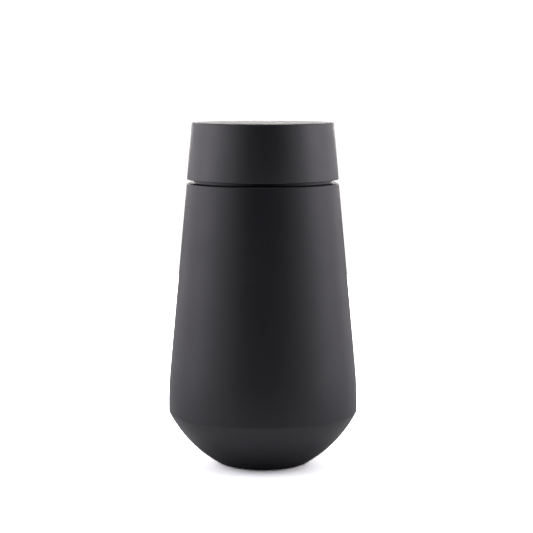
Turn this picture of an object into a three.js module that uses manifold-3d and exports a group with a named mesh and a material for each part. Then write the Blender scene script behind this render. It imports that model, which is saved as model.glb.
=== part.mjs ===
// A vacuum-insulated travel tumbler with a screw lid: a matt dark body that widens from the mouth to a
// belly, a rounded underside, and a flat-topped lid that stands a narrow shadow gap above the shoulder.
//
// Millimetres, +Z up. The origin is the middle of the face it stands on.
// Every round part is turned about Z, so profiles are lists of [radius, height].

import * as THREE from "three";
import { mergeVertices } from "three/addons/utils/BufferGeometryUtils.js";
import Module from "manifold-3d";

const wasm = await Module();
wasm.setup();

// ---------------------------------------------------------------- driving dimensions

const SEGMENTS = 48; // facets round every large turned part
const GAP = 0.3; // left between pieces that are welded, glued or pressed together

// body, outside
const STANDING_HEIGHT = 160;
const SHOULDER_R = 35.45;
const SHOULDER_Z = 132;
const BELLY_R = 44.3;
const CONE_FOOT_Z = 36.6; // where the straight taper would reach the belly radius
const KNEE_RADIUS = 190; // the long soft curve from the taper to the upright belly
const CREASE_Z = 24.7; // the crisp edge between belly and underside
const BOWL_RADIUS = 58; // the curve of the underside
const RIM_R = 21.45; // where that curve ends at the foot
const RIM_Z = 0.5;

// neck and mouth
const NECK_R = 32.3;
const NECK_TOP_Z = 141.2;
const MOUTH_R = 30.8;
const LIP_TOP_Z = 142.6;

// walls and vacuum space
const OUTER_WALL = 0.6;
const INNER_WALL = 0.5;
const VACUUM_SPACE = 4.3;
const INNER_SEAM_Z = 27.4;
const WELL_Z = 7.7; // the flat inside bottom

// foot
const RECESS_R = 19.9;
const RECESS_Z = 3.4;
const PAD_R = 19.55;
const PAD_THICKNESS = 1.7;
const CAP_THICKNESS = 0.9;

// lid
const LID_TOP_R = 33.1;
const LID_BOTTOM_R = 35.35;
const LID_BOTTOM_Z = 133.7;
const LID_WALL = 1.3;
const LID_EDGE_RADIUS = 0.5;
const PLUG_R = 29.2;
const PLUG_WALL = 1.4;
const PLUG_BOTTOM_Z = 124;
const PLUG_TOP_Z = 157.3;
const FLANGE_R = 32.35;
const FLANGE_Z = 144.4;
const FLANGE_THICKNESS = 2;
const GROOVE_R = 28.6; // the groove that holds the gasket's inner edge

// three-start screw thread, the same helix on the mouth and on the plug
const STARTS = 3;
const LEAD = 12; // rise in one whole turn
const THREAD_Z = 127.6; // middle of a mouth rib where it starts
const RIB_CREST_WIDTH = 0.8;
const RIB_ROOT_WIDTH = 2;
const FLANK_OFFSET = 1.45; // the plug's ribs ride this far below the mouth's ribs

// ---------------------------------------------------------------- profile helpers

const rad = THREE.MathUtils.degToRad;

// Points of an arc about a centre, from one angle to another, in degrees.
function arc([cx, cy], radius, from, to, steps) {
  return Array.from({ length: steps + 1 }, (_, i) => {
    const angle = rad(from + ((to - from) * i) / steps);
    return [cx + radius * Math.cos(angle), cy + radius * Math.sin(angle)];
  });
}

// The corner b of the path a-b-c, rounded to a radius.
function rounded(a, b, c, radius, steps = 3) {
  const [va, vb, vc] = [a, b, c].map((p) => new THREE.Vector2(...p));
  const toA = va.sub(vb).normalize();
  const toC = vc.sub(vb).normalize();
  const half = Math.acos(toA.dot(toC)) / 2;
  const centre = toA.clone().add(toC).normalize().multiplyScalar(radius / Math.sin(half)).add(vb);
  const reach = radius / Math.tan(half);
  const start = toA.clone().multiplyScalar(reach).add(vb).sub(centre);
  const end = toC.clone().multiplyScalar(reach).add(vb).sub(centre);
  let sweep = end.angle() - start.angle();
  if (sweep > Math.PI) sweep -= 2 * Math.PI;
  if (sweep < -Math.PI) sweep += 2 * Math.PI;
  const from = THREE.MathUtils.radToDeg(start.angle());
  return arc([centre.x, centre.y], radius, from, from + THREE.MathUtils.radToDeg(sweep), steps);
}

// The path moved sideways by a distance, to its left as it runs, with mitred corners.
// Its ends move straight across or straight up, so that they stay on the planes they end on.
function offset(path, distance) {
  const normals = path.slice(1).map(([x, y], i) => {
    const along = new THREE.Vector2(x - path[i][0], y - path[i][1]).normalize();
    return new THREE.Vector2(-along.y, along.x);
  });
  return path.map(([x, y], i) => {
    const before = normals[i - 1];
    const after = normals[i];
    if (before && after) {
      const mitre = before.clone().add(after).normalize();
      mitre.multiplyScalar(distance / mitre.dot(after));
      return [x + mitre.x, y + mitre.y];
    }
    const { x: nx, y: ny } = before ?? after;
    return Math.abs(nx) > Math.abs(ny) ? [x + distance / nx, y] : [x, y + distance / ny];
  });
}

// A sheet of even thickness: the path out and its offset back.
function sheet(path, thickness) {
  return [...path, ...offset(path, thickness).reverse()];
}

// ---------------------------------------------------------------- solid helpers

// A closed profile turned about Z. The profile runs anticlockwise, with the axis on its left.
function turned(profile, segments = SEGMENTS) {
  const onAxis = profile[0][0] === 0 && profile.at(-1)[0] === 0;
  const points = (onAxis ? profile : [...profile, profile[0]]).map((p) => new THREE.Vector2(...p));
  return new THREE.LatheGeometry(points, segments).rotateX(Math.PI / 2);
}

// A thread rib: a bar with a tapering section, bent round a helix, that fades in and out at its ends.
function threadRib({ rootR, crestR, startAngle, startZ, span }) {
  const stepDegrees = 360 / SEGMENTS;
  const steps = Math.round(span / stepDegrees);
  const fadeDegrees = 2 * stepDegrees;
  const bar = new THREE.BoxGeometry(1, 1, 1, steps, 1, 1);
  const points = bar.getAttribute("position");
  const along = crestR > rootR ? -1 : 1; // keeps the bar's faces outwards whichever way it stands
  for (let i = 0; i < points.count; i += 1) {
    const turn = (0.5 + along * points.getX(i)) * span;
    const outwards = points.getY(i) + 0.5;
    const fade = Math.min(1, Math.min(turn, span - turn) / fadeDegrees);
    const height = outwards * (0.25 + 0.75 * fade);
    const radius = THREE.MathUtils.lerp(rootR, crestR, height);
    const width = THREE.MathUtils.lerp(RIB_ROOT_WIDTH, RIB_CREST_WIDTH, height);
    const angle = rad(startAngle + turn);
    const z = startZ + (LEAD * turn) / 360 + points.getZ(i) * width;
    points.setXYZ(i, radius * Math.cos(angle), radius * Math.sin(angle), z);
  }
  return bar;
}

function toSolid(geometry) {
  const bare = geometry.clone();
  bare.deleteAttribute("normal");
  bare.deleteAttribute("uv");
  const merged = mergeVertices(bare, 1e-4);
  const solid = new wasm.Manifold(
    new wasm.Mesh({
      numProp: 3,
      vertProperties: merged.getAttribute("position").array,
      triVerts: new Uint32Array(merged.index.array),
    }),
  );
  return solid;
}

function toGeometry(solid) {
  const { vertProperties, triVerts } = solid.getMesh();
  return new THREE.BufferGeometry()
    .setAttribute("position", new THREE.BufferAttribute(vertProperties, 3))
    .setIndex(new THREE.BufferAttribute(triVerts, 1));
}

// One solid: the first with the added pieces fused on, then the removed pieces cut away.
function combined(first, added, removed = []) {
  const whole = added.reduce((solid, piece) => solid.add(toSolid(piece)), toSolid(first));
  return toGeometry(removed.reduce((solid, piece) => solid.subtract(toSolid(piece)), whole));
}

const block = (x, y, z, width, depth, height) =>
  new THREE.BoxGeometry(width, depth, height).translate(x, y, z);

const aroundZ = (count, make) =>
  Array.from({ length: count }, (_, i) => make().rotateZ((2 * Math.PI * i) / count));

// ---------------------------------------------------------------- materials

const paint = (color, roughness, metalness) =>
  new THREE.MeshStandardMaterial({ color, roughness, metalness });

const MATERIALS = {
  coating: paint(0x2b2c30, 0.55, 0),
  steel: paint(0xb9babc, 0.3, 1),
  copper: paint(0xb5704a, 0.35, 1),
  getterMetal: paint(0x55524e, 0.8, 1),
  solderGlass: paint(0x1d2724, 0.2, 0),
  plastic: paint(0x1c1d1f, 0.5, 0),
  silicone: paint(0x9b9a96, 0.6, 0),
  padSilicone: paint(0x17181a, 0.8, 0),
  foam: paint(0xe8e6df, 0.9, 0),
  adhesive: paint(0xd9d7d0, 0.8, 0),
};

const tumbler = new THREE.Group();

function add(name, geometry, material) {
  const mesh = new THREE.Mesh(geometry, material);
  mesh.name = name;
  tumbler.add(mesh);
}

// ---------------------------------------------------------------- outer body

// The long taper of the body: its radius at a height.
const TAPER = (BELLY_R - SHOULDER_R) / (SHOULDER_Z - CONE_FOOT_Z);
const taperRadius = (z) => SHOULDER_R + TAPER * (SHOULDER_Z - z);
const TAPER_SECANT = Math.hypot(1, TAPER); // turns a wall's thickness into its width across

// Centre of the underside's curve, which runs from the crease to the foot's rim.
function arcCentre([x1, y1], [x2, y2], radius) {
  const chord = Math.hypot(x2 - x1, y2 - y1);
  const depth = Math.sqrt(radius ** 2 - (chord / 2) ** 2);
  return [(x1 + x2) / 2 + (depth * (y2 - y1)) / chord, (y1 + y2) / 2 - (depth * (x2 - x1)) / chord];
}
const BOWL_CENTRE = arcCentre([BELLY_R, CREASE_Z], [RIM_R, RIM_Z], BOWL_RADIUS);

const angleOf = ([x, y]) => THREE.MathUtils.radToDeg(Math.atan2(y - BOWL_CENTRE[1], x - BOWL_CENTRE[0]));

// The height of a circle about the bowl's centre at a given radius from the axis, and the reverse.
const bowlHeightAt = (circle, r) => BOWL_CENTRE[1] - Math.sqrt(circle ** 2 - (r - BOWL_CENTRE[0]) ** 2);
const bowlRadiusAt = (circle, z) => BOWL_CENTRE[0] + Math.sqrt(circle ** 2 - (z - BOWL_CENTRE[1]) ** 2);

function outerShell() {
  const shoulder = [SHOULDER_R, SHOULDER_Z];
  const coneFoot = [BELLY_R, CONE_FOOT_Z];
  const neckFoot = [NECK_R, SHOULDER_Z];
  const crease = [BELLY_R, CREASE_Z + GAP / 2];
  const skin = [
    crease,
    ...rounded(crease, coneFoot, shoulder, KNEE_RADIUS, 3),
    ...rounded(coneFoot, shoulder, neckFoot, 0.7, 2),
    [NECK_R + 0.4, SHOULDER_Z],
    [NECK_R, SHOULDER_Z + 0.4],
    [NECK_R, NECK_TOP_Z],
  ];
  return turned(sheet(skin, OUTER_WALL));
}

// The underside, with a recess that holds the foot and a dimple where the air was drawn out.
const DIMPLE_R = 3.6;
const DIMPLE_Z = 5;
const PORT_R = 0.8;

function outerBottom() {
  const top = CREASE_Z - GAP / 2;
  const topR = bowlRadiusAt(BOWL_RADIUS, top);
  const curve = arc(BOWL_CENTRE, BOWL_RADIUS, angleOf([RIM_R, RIM_Z]), angleOf([topR, top]), 6);
  const skin = [
    [PORT_R, DIMPLE_Z],
    [DIMPLE_R - 0.8, DIMPLE_Z],
    [DIMPLE_R, RECESS_Z],
    [RECESS_R, RECESS_Z],
    [RECESS_R, RIM_Z],
    ...curve,
  ];
  return turned(sheet(skin, OUTER_WALL));
}

// ---------------------------------------------------------------- inner vessel

const INNER_OFFSET = OUTER_WALL + VACUUM_SPACE; // from the body's skin to the vessel's outer face
const WET_OFFSET = INNER_OFFSET + INNER_WALL; // and to its wet face
const WET_CIRCLE = BOWL_RADIUS - WET_OFFSET;
const WET_BELLY_R = BELLY_R - WET_OFFSET;
const taperOffsetZ = (across) => CONE_FOOT_Z - (across * (TAPER_SECANT - 1)) / TAPER;

function innerVessel() {
  const mouthFoot = [MOUTH_R, SHOULDER_Z - (MOUTH_R - SHOULDER_R + WET_OFFSET * TAPER_SECANT) / TAPER];
  const coneFoot = [WET_BELLY_R, taperOffsetZ(WET_OFFSET)];
  const seam = [WET_BELLY_R, INNER_SEAM_Z + GAP / 2];
  const lipFootZ = NECK_TOP_Z + GAP;
  // Runs down the wet face, so that the wall's thickness lies on the vacuum side.
  const wet = [
    [MOUTH_R, lipFootZ],
    mouthFoot,
    ...rounded(mouthFoot, coneFoot, seam, KNEE_RADIUS - WET_OFFSET, 3),
    seam,
  ];
  const dry = offset(wet, INNER_WALL).reverse();
  const lip = [
    [NECK_R, lipFootZ],
    ...rounded([NECK_R, lipFootZ], [NECK_R, LIP_TOP_Z], [MOUTH_R, LIP_TOP_Z], 0.5, 2),
    ...rounded([NECK_R, LIP_TOP_Z], [MOUTH_R, LIP_TOP_Z], [MOUTH_R, lipFootZ], 0.5, 2),
  ];
  const wall = turned([...dry, ...lip, ...wet]);
  const ribs = Array.from({ length: STARTS }, (_, i) =>
    threadRib({
      rootR: MOUTH_R + 0.3,
      crestR: MOUTH_R - 1.1,
      startAngle: (360 / STARTS) * i,
      startZ: THREAD_Z,
      span: 150,
    }),
  );
  return combined(wall, ribs);
}

function innerBottom() {
  const top = INNER_SEAM_Z - GAP / 2;
  const bendZ = bowlHeightAt(WET_CIRCLE, WET_BELLY_R);
  const wellR = bowlRadiusAt(WET_CIRCLE, WELL_Z);
  const curve = arc(BOWL_CENTRE, WET_CIRCLE, angleOf([WET_BELLY_R, bendZ]), angleOf([wellR, WELL_Z]), 5);
  const wet = [[WET_BELLY_R, top], ...curve, [0, WELL_Z]];
  const dry = offset(wet, INNER_WALL).reverse();
  return turned([...dry, ...wet]);
}

// A copper foil wrapped round the tapering part of the vessel, which reflects heat back.
function copperFoil() {
  const FOIL = 0.2;
  const across = (INNER_OFFSET - GAP) * TAPER_SECANT;
  const low = 50;
  const high = 118;
  const inside = [
    [taperRadius(high) - across, high],
    [taperRadius(low) - across, low],
  ];
  const outside = inside.map(([r, z]) => [r + FOIL, z]).reverse();
  return turned([...outside, ...inside]);
}

// ---------------------------------------------------------------- parts of the vacuum space

const GETTER_X = 12.5;
const BASE_TOP_Z = RECESS_Z + OUTER_WALL;

function getterPellet() {
  const PELLET_R = 4;
  const PELLET_THICKNESS = 1.5;
  return new THREE.CylinderGeometry(PELLET_R, PELLET_R, PELLET_THICKNESS, 24)
    .rotateX(Math.PI / 2)
    .translate(GETTER_X, 0, BASE_TOP_Z + GAP + PELLET_THICKNESS / 2);
}

// A thin strap over the pellet, with a foot on each side that is spot-welded to the base.
function getterStrap() {
  const HALF_SPAN = 4.4;
  const STRAP = 0.3;
  const FOOT = 2.2;
  const WIDTH = 3;
  const floor = BASE_TOP_Z + GAP;
  const bridge = floor + 1.5 + GAP;
  const edge = [
    [-HALF_SPAN - FOOT, floor],
    [-HALF_SPAN, floor],
    [-HALF_SPAN, bridge],
    [HALF_SPAN, bridge],
    [HALF_SPAN, floor],
    [HALF_SPAN + FOOT, floor],
  ];
  const outline = new THREE.Shape(sheet(edge, STRAP).map((p) => new THREE.Vector2(...p)));
  return new THREE.ExtrudeGeometry(outline, { depth: WIDTH, bevelEnabled: false })
    .translate(0, 0, -WIDTH / 2)
    .rotateX(Math.PI / 2)
    .rotateZ(Math.PI / 2)
    .translate(GETTER_X, 0, 0);
}

// The bead of solder glass that closes the port after the air is drawn out.
function sealBead() {
  const top = DIMPLE_Z - GAP;
  return turned(
    [
      [0, RECESS_Z + 0.1],
      [1.6, RECESS_Z + 0.3],
      [2.4, top - 0.5],
      [2.2, top],
      [PORT_R - GAP, top],
      [PORT_R - GAP, DIMPLE_Z + OUTER_WALL + 0.6],
      [0, DIMPLE_Z + OUTER_WALL + 0.8],
    ],
    20,
  );
}

// ---------------------------------------------------------------- foot

// A thin disc that covers the port and its dimple.
function baseCap() {
  const low = PAD_THICKNESS + GAP;
  return turned([
    [0, low],
    [PAD_R, low],
    [PAD_R, low + CAP_THICKNESS],
    [0, low + CAP_THICKNESS],
  ]);
}

// The non-slip foot: a contact ring round a shallow hollow with two grip rings.
function footPad() {
  const HOLLOW = 0.5;
  const CONTACT_R = 15.5;
  const grip = (r) => [
    [r - 1, HOLLOW],
    [r - 0.6, 0],
    [r + 0.6, 0],
    [r + 1, HOLLOW],
  ];
  return turned([
    [0, HOLLOW],
    ...grip(5.5),
    ...grip(10.5),
    [CONTACT_R - 0.5, HOLLOW],
    [CONTACT_R, 0],
    [PAD_R - 0.4, 0],
    [PAD_R, 0.4],
    [PAD_R, PAD_THICKNESS],
    [0, PAD_THICKNESS],
  ]);
}

// ---------------------------------------------------------------- lid

const LID_TAPER = (LID_BOTTOM_R - LID_TOP_R) / (STANDING_HEIGHT - LID_BOTTOM_Z);
const lidRadius = (z) => LID_BOTTOM_R - LID_TAPER * (z - LID_BOTTOM_Z);
const KEYS = 6; // keys on the shell that turn the liner, with a snap lug between each pair
const KEY_R = 31.6;

function lidShell() {
  const topEdge = [LID_TOP_R, STANDING_HEIGHT];
  const bottomEdge = [LID_BOTTOM_R, LID_BOTTOM_Z];
  const skin = [
    [LID_BOTTOM_R - LID_EDGE_RADIUS, LID_BOTTOM_Z],
    [lidRadius(LID_BOTTOM_Z + LID_EDGE_RADIUS), LID_BOTTOM_Z + LID_EDGE_RADIUS],
    ...rounded(bottomEdge, topEdge, [0, STANDING_HEIGHT], LID_EDGE_RADIUS, 2),
    [0, STANDING_HEIGHT],
  ];
  const lining = [
    [0, STANDING_HEIGHT - LID_WALL],
    [LID_TOP_R - LID_WALL, STANDING_HEIGHT - LID_WALL],
    [LID_BOTTOM_R - LID_WALL, LID_BOTTOM_Z],
  ];
  const shell = turned([...lining, ...skin]);
  const reach = (inner, z) => (inner + lidRadius(z) - LID_WALL / 2) / 2;
  const depth = (inner, z) => lidRadius(z) - LID_WALL / 2 - inner;
  const keyZ = FLANGE_Z + FLANGE_THICKNESS;
  const lugZ = FLANGE_Z - GAP - 0.5;
  const lugR = 31.9;
  const keys = aroundZ(KEYS, () => block(reach(KEY_R, keyZ), 0, keyZ, depth(KEY_R, keyZ), 1.4, 3.6));
  const lugs = aroundZ(KEYS, () =>
    block(reach(lugR, lugZ), 0, lugZ, depth(lugR, lugZ), 4, 1).rotateZ(Math.PI / KEYS),
  );
  return combined(shell, [...keys, ...lugs]);
}

// The plug that screws into the mouth: a deep cup with a flange half way up and the thread below it.
function lidLiner() {
  const inner = PLUG_R - PLUG_WALL;
  const grooveLow = 142.6;
  const flangeTop = FLANGE_Z + FLANGE_THICKNESS;
  const plug = turned([
    [0, PLUG_BOTTOM_Z + 0.6],
    [PLUG_R - 5, PLUG_BOTTOM_Z + 0.6],
    [PLUG_R - 4.2, PLUG_BOTTOM_Z],
    ...rounded([0, PLUG_BOTTOM_Z], [PLUG_R, PLUG_BOTTOM_Z], [PLUG_R, PLUG_TOP_Z], 1.2, 3),
    [PLUG_R, grooveLow],
    [GROOVE_R, grooveLow],
    [GROOVE_R, FLANGE_Z],
    [FLANGE_R, FLANGE_Z],
    [FLANGE_R, flangeTop],
    [PLUG_R, flangeTop],
    [PLUG_R, PLUG_TOP_Z],
    [inner, PLUG_TOP_Z],
    [inner, PLUG_BOTTOM_Z + 0.6 + PLUG_WALL],
    [0, PLUG_BOTTOM_Z + 0.6 + PLUG_WALL],
  ]);
  const lateStart = 180 / SEGMENTS; // half a facet, so the ribs' corners fall between the plug's
  const ribs = Array.from({ length: STARTS }, (_, i) =>
    threadRib({
      rootR: PLUG_R - 0.3,
      crestR: PLUG_R + 1.2,
      startAngle: (360 / STARTS) * i + lateStart,
      startZ: THREAD_Z - FLANK_OFFSET + (LEAD * lateStart) / 360,
      span: 120,
    }),
  );
  const notches = aroundZ(KEYS, () => block(FLANGE_R, 0, FLANGE_Z + FLANGE_THICKNESS / 2, 2, 2, 3));
  return combined(plug, ribs, notches);
}

const CORE_R = PLUG_R - PLUG_WALL - GAP;
const COVER_THICKNESS = 1.2;

function lidInsulation() {
  const low = PLUG_BOTTOM_Z + 0.6 + PLUG_WALL + GAP;
  const high = PLUG_TOP_Z - COVER_THICKNESS - GAP;
  return turned([
    [0, low],
    [CORE_R, low],
    [CORE_R, high],
    [0, high],
  ]);
}

function coreCover() {
  const low = PLUG_TOP_Z - COVER_THICKNESS;
  return turned([
    [0, low],
    [CORE_R, low],
    [CORE_R, PLUG_TOP_Z],
    [0, PLUG_TOP_Z],
  ]);
}

// The double-sided foam disc that bonds the liner to the underside of the lid's top.
function bondPad() {
  const BOND_R = 25;
  const high = STANDING_HEIGHT - LID_WALL - GAP;
  const low = PLUG_TOP_Z + GAP;
  return turned([
    [0, low],
    [BOND_R, low],
    [BOND_R, high],
    [0, high],
  ]);
}

// A flat silicone ring that seals on the lip, held by its inner edge in the plug's groove.
function lidGasket() {
  const low = LIP_TOP_Z + GAP;
  const high = FLANGE_Z - GAP;
  return turned([
    [GROOVE_R + GAP, low],
    [31.1, low],
    [31.5, low + 0.4],
    [31.5, high],
    [GROOVE_R + GAP, high],
  ]);
}

// ---------------------------------------------------------------- assembly

add("outer_shell", outerShell(), MATERIALS.coating);
add("outer_bottom", outerBottom(), MATERIALS.coating);
add("inner_vessel", innerVessel(), MATERIALS.steel);
add("inner_bottom", innerBottom(), MATERIALS.steel);
add("copper_foil", copperFoil(), MATERIALS.copper);
add("getter_pellet", getterPellet(), MATERIALS.getterMetal);
add("getter_strap", getterStrap(), MATERIALS.steel);
add("vacuum_seal_bead", sealBead(), MATERIALS.solderGlass);
add("base_cap", baseCap(), MATERIALS.plastic);
add("foot_pad", footPad(), MATERIALS.padSilicone);
add("lid_shell", lidShell(), MATERIALS.coating);
add("lid_liner", lidLiner(), MATERIALS.plastic);
add("lid_insulation", lidInsulation(), MATERIALS.foam);
add("lid_core_cover", coreCover(), MATERIALS.plastic);
add("lid_bond_pad", bondPad(), MATERIALS.adhesive);
add("lid_gasket", lidGasket(), MATERIALS.silicone);

export default tumbler;
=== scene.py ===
# %% [markdown]
# # A vacuum-insulated tumbler with a screw lid
#
# The object is a small steel drinking tumbler. Two steel walls are joined at the mouth, with the air drawn
# out from between them. The outside is coated matt charcoal. A flat-topped cap screws in, with a deep
# plastic plug below it that carries the thread and a silicone ring.
#
# Almost every piece is round, because real ones are spun from steel or moulded in turned tools. So the main
# way of working is the same as the factory's: draw half of the section, then spin it about the axis. The
# few things that aren't round, such as threads, keys and notches, are made on their own and joined on.

# %% Load the measured model
import math

import bpy
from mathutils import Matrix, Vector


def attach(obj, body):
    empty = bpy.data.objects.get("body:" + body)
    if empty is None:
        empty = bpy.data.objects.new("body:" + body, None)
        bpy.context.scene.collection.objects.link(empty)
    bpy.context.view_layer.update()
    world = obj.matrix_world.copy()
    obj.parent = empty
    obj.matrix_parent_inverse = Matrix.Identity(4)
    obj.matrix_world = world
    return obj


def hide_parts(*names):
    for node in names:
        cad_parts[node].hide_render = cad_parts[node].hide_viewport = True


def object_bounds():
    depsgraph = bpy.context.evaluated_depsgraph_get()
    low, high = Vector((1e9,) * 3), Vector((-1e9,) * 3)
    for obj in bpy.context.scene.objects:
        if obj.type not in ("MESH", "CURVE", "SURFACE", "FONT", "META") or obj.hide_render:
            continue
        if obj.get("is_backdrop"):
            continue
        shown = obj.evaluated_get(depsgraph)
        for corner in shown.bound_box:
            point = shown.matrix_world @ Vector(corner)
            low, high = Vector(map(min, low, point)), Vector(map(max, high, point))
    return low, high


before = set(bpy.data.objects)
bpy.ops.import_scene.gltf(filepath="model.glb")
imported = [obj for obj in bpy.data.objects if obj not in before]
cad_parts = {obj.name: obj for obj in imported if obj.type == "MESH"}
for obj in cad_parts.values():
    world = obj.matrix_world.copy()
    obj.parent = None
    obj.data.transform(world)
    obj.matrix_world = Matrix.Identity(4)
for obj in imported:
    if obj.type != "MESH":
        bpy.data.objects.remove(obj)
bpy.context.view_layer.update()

# %% [markdown]
# ## Measures
#
# Everything is in metres, so a length in millimetres is written as a number times `MM`. The names follow
# the object from the top down. The rest of the file reads them instead of repeating numbers, so that a
# piece and its neighbour always agree.

# %% Heights and radii
MM = 0.001
AROUND = 192  # steps in one full spin: fine enough that the outline shows no corners

TOP_Z = 160 * MM
CAP_TOP_R = 33.1 * MM
CAP_FOOT_R = 35.35 * MM
CAP_FOOT_Z = 133.7 * MM
CAP_WALL = 1.3 * MM

SHOULDER_R = 35.45 * MM
SHOULDER_Z = 132 * MM
BELLY_R = 44.3 * MM
TAPER_FOOT_Z = 36.6 * MM  # where the straight taper would meet the upright belly
KNEE_R = 190 * MM  # the long curve between them
CREASE_Z = 24.7 * MM
BOWL_R = 58 * MM
FOOT_RIM_R = 21.45 * MM
FOOT_RIM_Z = 0.5 * MM
RECESS_R = 19.9 * MM
RECESS_Z = 3.4 * MM
DIMPLE_R = 2.8 * MM  # the dimple round the port, with a sloping wall up to its roof
DIMPLE_ROOF_Z = 5 * MM
DIMPLE_SPREAD = 0.8 * MM
PORT_R = 0.8 * MM

NECK_R = 32.3 * MM
NECK_TOP_Z = 141.2 * MM
MOUTH_R = 30.8 * MM
LIP_TOP_Z = 142.6 * MM
OUTER_WALL = 0.6 * MM
INNER_WALL = 0.5 * MM
WET_DEPTH = 5.4 * MM  # from the outer skin to the wall that the drink touches
WELL_Z = 7.7 * MM
WELD_RING_Z = 27.4 * MM  # the slight groove of the weld inside

PLUG_R = 29.2 * MM
PLUG_WALL = 1.4 * MM
PLUG_FOOT_Z = 124 * MM
PLUG_TOP_Z = 157.3 * MM
FLANGE_R = 32.35 * MM
FLANGE_Z = 144.4 * MM
FLANGE_THICK = 2 * MM
LEAD = 12 * MM  # how far the lid rises in one turn
print(f"cup {2 * BELLY_R / MM:.1f} mm across and {TOP_Z / MM:.0f} mm tall with its cap")

# %% [markdown]
# ## Drawing a section and spinning it
#
# A section is drawn like a pen line. It starts as a tiny plane whose corners are merged into one point.
# That point is then extruded to each next place, and spun about a centre wherever the line is an arc.
# Corners are softened afterwards with a vertex bevel, which is how a drawn corner gets its radius.
# Last, the whole line is spun once round the axis and its doubled points are merged.

# %% Everything starts from nothing selected
TOUCH = 0.002 * MM  # points nearer to each other than this are one point


def deselect_all():
    if bpy.context.object and bpy.context.object.mode != "OBJECT":
        bpy.ops.object.mode_set(mode="OBJECT")
    bpy.ops.object.select_all(action="DESELECT")


def select_points(piece, wanted):
    """Selects the points of a piece whose (x, y, z) the test accepts, and leaves it in edit mode."""
    bpy.ops.object.mode_set(mode="EDIT")
    bpy.ops.mesh.select_mode(type="VERT")
    bpy.ops.mesh.select_all(action="DESELECT")
    bpy.ops.object.mode_set(mode="OBJECT")
    for point in piece.data.vertices:
        point.select = bool(wanted(*point.co))
    bpy.ops.object.mode_set(mode="EDIT")


# %% The pen
class Section:
    """Half of a section in the plane y = 0, given as radius and height, drawn one point at a time."""

    def __init__(self, name, radius, height):
        deselect_all()
        bpy.ops.mesh.primitive_plane_add(size=MM, location=(radius, 0, height))
        self.piece = bpy.context.object
        self.piece.name = self.piece.data.name = name
        self.at = self.first = (radius, height)
        bpy.ops.object.transform_apply(location=True, rotation=True, scale=True)
        bpy.ops.object.mode_set(mode="EDIT")
        bpy.ops.mesh.select_mode(type="VERT")
        bpy.ops.mesh.select_all(action="SELECT")
        bpy.ops.mesh.merge(type="CENTER")

    def to(self, radius, height):
        step = (radius - self.at[0], 0, height - self.at[1])
        bpy.ops.mesh.extrude_vertices_move(TRANSFORM_OT_translate={"value": step})
        self.at = (radius, height)
        return self

    def arc(self, centre, degrees, steps):
        turn = math.radians(degrees)
        bpy.ops.mesh.spin(
            steps=steps, angle=turn, center=(centre[0], 0, centre[1]), axis=(0, 1, 0)
        )
        x, z = self.at[0] - centre[0], self.at[1] - centre[1]
        self.at = (
            centre[0] + x * math.cos(turn) - z * math.sin(turn),
            centre[1] + x * math.sin(turn) + z * math.cos(turn),
        )
        return self

    def close(self):
        self.to(*self.first)
        bpy.ops.mesh.select_all(action="SELECT")
        bpy.ops.mesh.remove_doubles(threshold=TOUCH / 2)
        return self

    def soften(self, radius, height, back, steps=5):
        """Rounds one corner, starting `back` before it and ending `back` after it."""
        select_points(
            self.piece, lambda x, y, z: abs(x - radius) < TOUCH and abs(z - height) < TOUCH
        )
        bpy.ops.mesh.bevel(offset=back, segments=steps, profile=0.5, affect="VERTICES")
        return self

    def spin(self, steps=AROUND, degrees=360):
        bpy.ops.mesh.select_all(action="SELECT")
        bpy.ops.mesh.spin(
            steps=steps, angle=math.radians(degrees), center=(0, 0, 0), axis=(0, 0, 1)
        )
        bpy.ops.mesh.select_all(action="SELECT")
        bpy.ops.mesh.remove_doubles(threshold=TOUCH / 4)
        bpy.ops.mesh.normals_make_consistent(inside=False)
        bpy.ops.object.mode_set(mode="OBJECT")
        return self.piece


# %% Modifiers, joining and smoothing
def apply_modifier(piece, kind, **settings):
    deselect_all()
    piece.select_set(True)
    bpy.context.view_layer.objects.active = piece
    modifier = piece.modifiers.new(kind.title(), kind)
    for name, value in settings.items():
        setattr(modifier, name, value)
    bpy.ops.object.modifier_apply(modifier=modifier.name)
    return piece


def combine(piece, others, operation):
    """Joins the others on, or cuts them away, and tidies the slivers that a cut can leave."""
    for other in others:
        apply_modifier(piece, "BOOLEAN", object=other, operation=operation, solver="EXACT")
        bpy.data.objects.remove(other)
        bpy.ops.object.mode_set(mode="EDIT")
        bpy.ops.mesh.select_all(action="SELECT")
        bpy.ops.mesh.remove_doubles(threshold=TOUCH)
        bpy.ops.mesh.dissolve_degenerate(threshold=TOUCH)
        bpy.ops.object.mode_set(mode="OBJECT")
    return piece


def smooth(piece, degrees=32):
    deselect_all()
    piece.select_set(True)
    bpy.context.view_layer.objects.active = piece
    bpy.ops.object.shade_smooth_by_angle(angle=math.radians(degrees))


def settle(piece, body, *nodes, finish):
    """Gives a finished piece its body and its material, and hides the measured nodes that it stands for."""
    smooth(piece)
    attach(piece, body)
    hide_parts(*nodes)
    piece.data.materials.clear()
    piece.data.materials.append(finish)
    edges = {}
    for face in piece.data.polygons:
        for key in face.edge_keys:
            edges[key] = edges.get(key, 0) + 1
    odd = sum(1 for count in edges.values() if count != 2)
    size = ", ".join(f"{v / MM:.1f}" for v in piece.dimensions)
    print(f"{piece.name}: {len(piece.data.polygons)} faces, {odd} open edges, {size} mm")


# %% [markdown]
# ## Finishes
#
# Each finish is a small network of its own, and what several of them need is built once as a group. One
# group gives the fine grain of a sprayed or moulded skin. One gives the faint marks of handling. One
# gives the rings that a turning tool or a polishing pad leaves on spun steel.

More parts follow.
